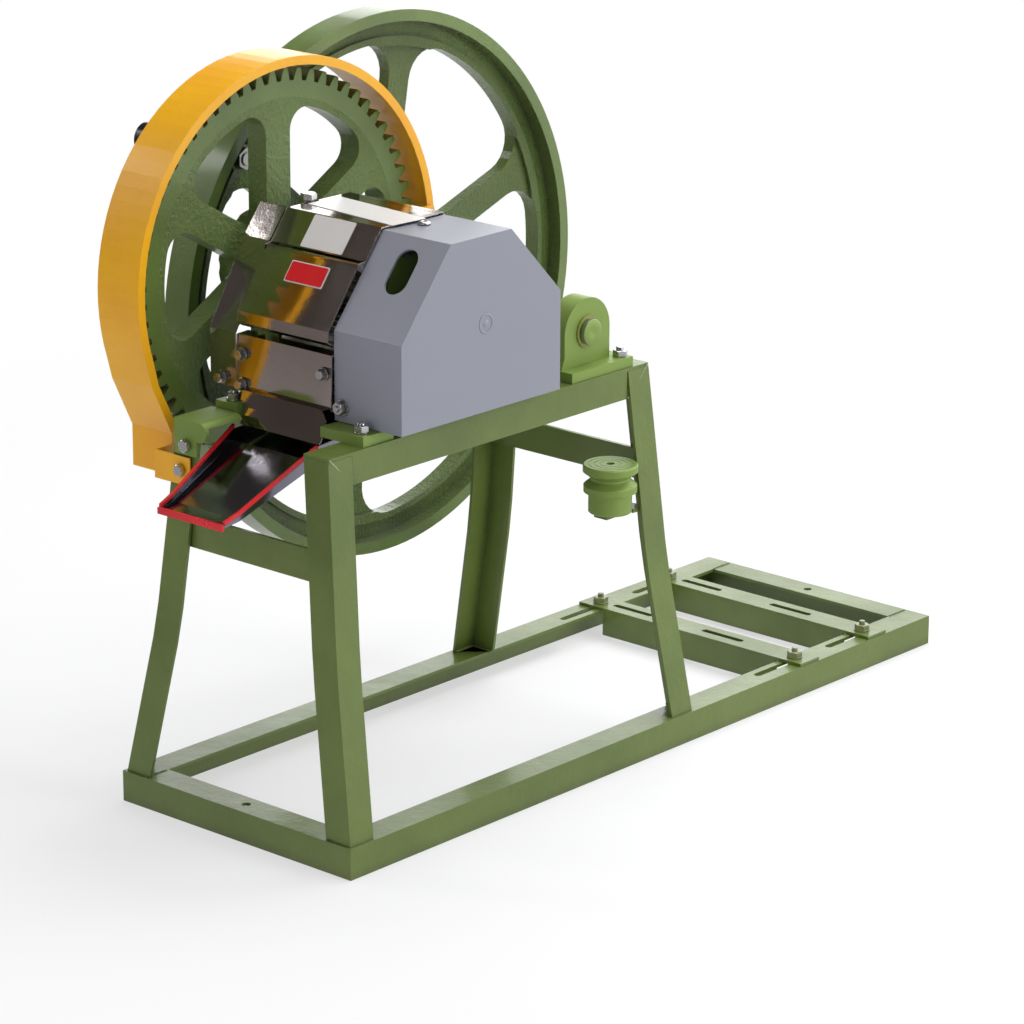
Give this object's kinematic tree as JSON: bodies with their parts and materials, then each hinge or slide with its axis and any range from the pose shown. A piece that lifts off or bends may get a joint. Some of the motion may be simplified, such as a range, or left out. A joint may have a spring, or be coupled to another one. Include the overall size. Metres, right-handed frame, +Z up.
{
  "type": "manual sugarcane juicer",
  "caption": "Hand cranked sugarcane juicer: roller mill with a spoked flywheel and large gear on a green angle iron trestle with a motor place.",
  "frame": {"origin": "under the middle of the bounding box, at floor height", "axes": "+X from the flywheel to the grey hood, +Y from the juice spout to the motor end of the base, +Z up"},
  "size_m": [0.597, 1.16, 0.8685],
  "materials": {
    "green_frame": "green enamel, semi gloss",
    "green_casting": "green enamel over rough casting",
    "guard_yellow": "yellow enamel, semi gloss",
    "hood_grey": "moulded grey, satin",
    "stainless_sheet": "polished stainless sheet",
    "zinc_steel": "bright zinc",
    "machined_steel": "turned steel",
    "bronze": "turned bronze",
    "trim_red": "edge trim",
    "grip_black": "moulded black"
  },
  "bodies": {
    "stand": {"base_rail_left": "green_frame", "base_rail_right": "green_frame", "base_bar_front": "green_frame", "base_bar_rear": "green_frame", "leg_front_left": "green_frame", "leg_front_right": "green_frame", "leg_rear_left": "green_frame", "leg_rear_right": "green_frame", "top_rail_left": "green_frame", "top_rail_right": "green_frame", "cross_bar_front": "green_frame", "cross_bar_rear": "green_frame", "mill_side_left": "green_casting", "mill_side_right": "green_casting", "front_lug": "green_casting", "mill_bolts": "zinc_steel", "tie_rods": "zinc_steel", "roller_bushes": "bronze", "turn_plate": "machined_steel", "pressure_screws": "zinc_steel", "juice_tray": "stainless_sheet", "spout_trim": "trim_red", "feed_guard": "stainless_sheet", "flap_rod": "zinc_steel", "feed_guard_lower": "stainless_sheet", "spout_deflector": "stainless_sheet", "rear_guard": "stainless_sheet", "bagasse_chute": "stainless_sheet", "gear_cover": "hood_grey", "cover_screws": "zinc_steel", "guard_screws": "zinc_steel", "gear_guard": "guard_yellow", "guard_strap": "guard_yellow", "guard_bolts": "zinc_steel", "bearing_block_left": "green_casting", "bearing_block_right": "green_casting", "bearing_bushes": "bronze", "bearing_bolts": "zinc_steel", "pulley_peg": "green_frame"},
    "crank_shaft": {"pinion_shaft": "machined_steel", "pinion": "green_casting", "flywheel": "green_casting", "flywheel_nut": "machined_steel", "handle_bolt": "machined_steel"},
    "handle": {"handle_grip": "grip_black"},
    "top_roller": {"roller_top": "machined_steel", "drive_gear": "green_casting", "drive_gear_nut": "machined_steel", "drive_gear_key": "machined_steel", "roller_gear_top": "machined_steel"},
    "front_roller": {"roller_front": "machined_steel", "roller_gear_front": "machined_steel"},
    "rear_roller": {"roller_rear": "machined_steel", "roller_gear_rear": "machined_steel"},
    "front_motor_bar": {"motor_bar_front": "green_frame", "motor_bolts_front": "green_frame"},
    "rear_motor_bar": {"motor_bar_rear": "green_frame", "motor_bolts_rear": "green_frame"},
    "pulley": {"motor_pulley": "green_casting"},
    "flap": {"feed_flap": "stainless_sheet"}
  },
  "joints": [
    {"name": "flywheel_spin", "type": "hinge", "parent": "stand", "child": "crank_shaft", "pos_m": [-0.1375, -0.01347, 0.5255], "axis": [1, 0, 0], "continuous": true},
    {"name": "handle_spin", "type": "hinge", "parent": "crank_shaft", "child": "handle", "pos_m": [-0.2285, -0.24941, 0.72348], "axis": [1, 0, 0], "continuous": true},
    {"name": "top_roller_spin", "type": "hinge", "parent": "stand", "child": "top_roller", "pos_m": [0, -0.262, 0.61], "axis": [1, 0, 0], "continuous": true},
    {"name": "front_roller_spin", "type": "hinge", "parent": "stand", "child": "front_roller", "pos_m": [0, -0.312, 0.54126], "axis": [1, 0, 0], "continuous": true},
    {"name": "rear_roller_spin", "type": "hinge", "parent": "stand", "child": "rear_roller", "pos_m": [0, -0.212, 0.54126], "axis": [1, 0, 0], "continuous": true},
    {"name": "flap_swing", "type": "hinge", "parent": "stand", "child": "flap", "pos_m": [0, -0.348, 0.656], "axis": [1, 0, 0], "range_deg": [-45, 0]},
    {"name": "front_motor_bar_slide", "type": "slide", "parent": "stand", "child": "front_motor_bar", "axis": [0, 1, 0], "range_m": [-0.074, 0.019]},
    {"name": "rear_motor_bar_slide", "type": "slide", "parent": "stand", "child": "rear_motor_bar", "axis": [0, 1, 0], "range_m": [-0.069, 0.024]},
    {"name": "pulley_spin", "type": "hinge", "parent": "stand", "child": "pulley", "pos_m": [0.2315, 0.006, 0.33], "axis": [0, 0, 1], "continuous": true}
  ],
  "couplings": [
    {"joint": "top_roller_spin", "follows": "flywheel_spin", "ratio": -0.15385},
    {"joint": "front_roller_spin", "follows": "flywheel_spin", "ratio": 0.15385},
    {"joint": "rear_roller_spin", "follows": "flywheel_spin", "ratio": 0.15385}
  ]
}
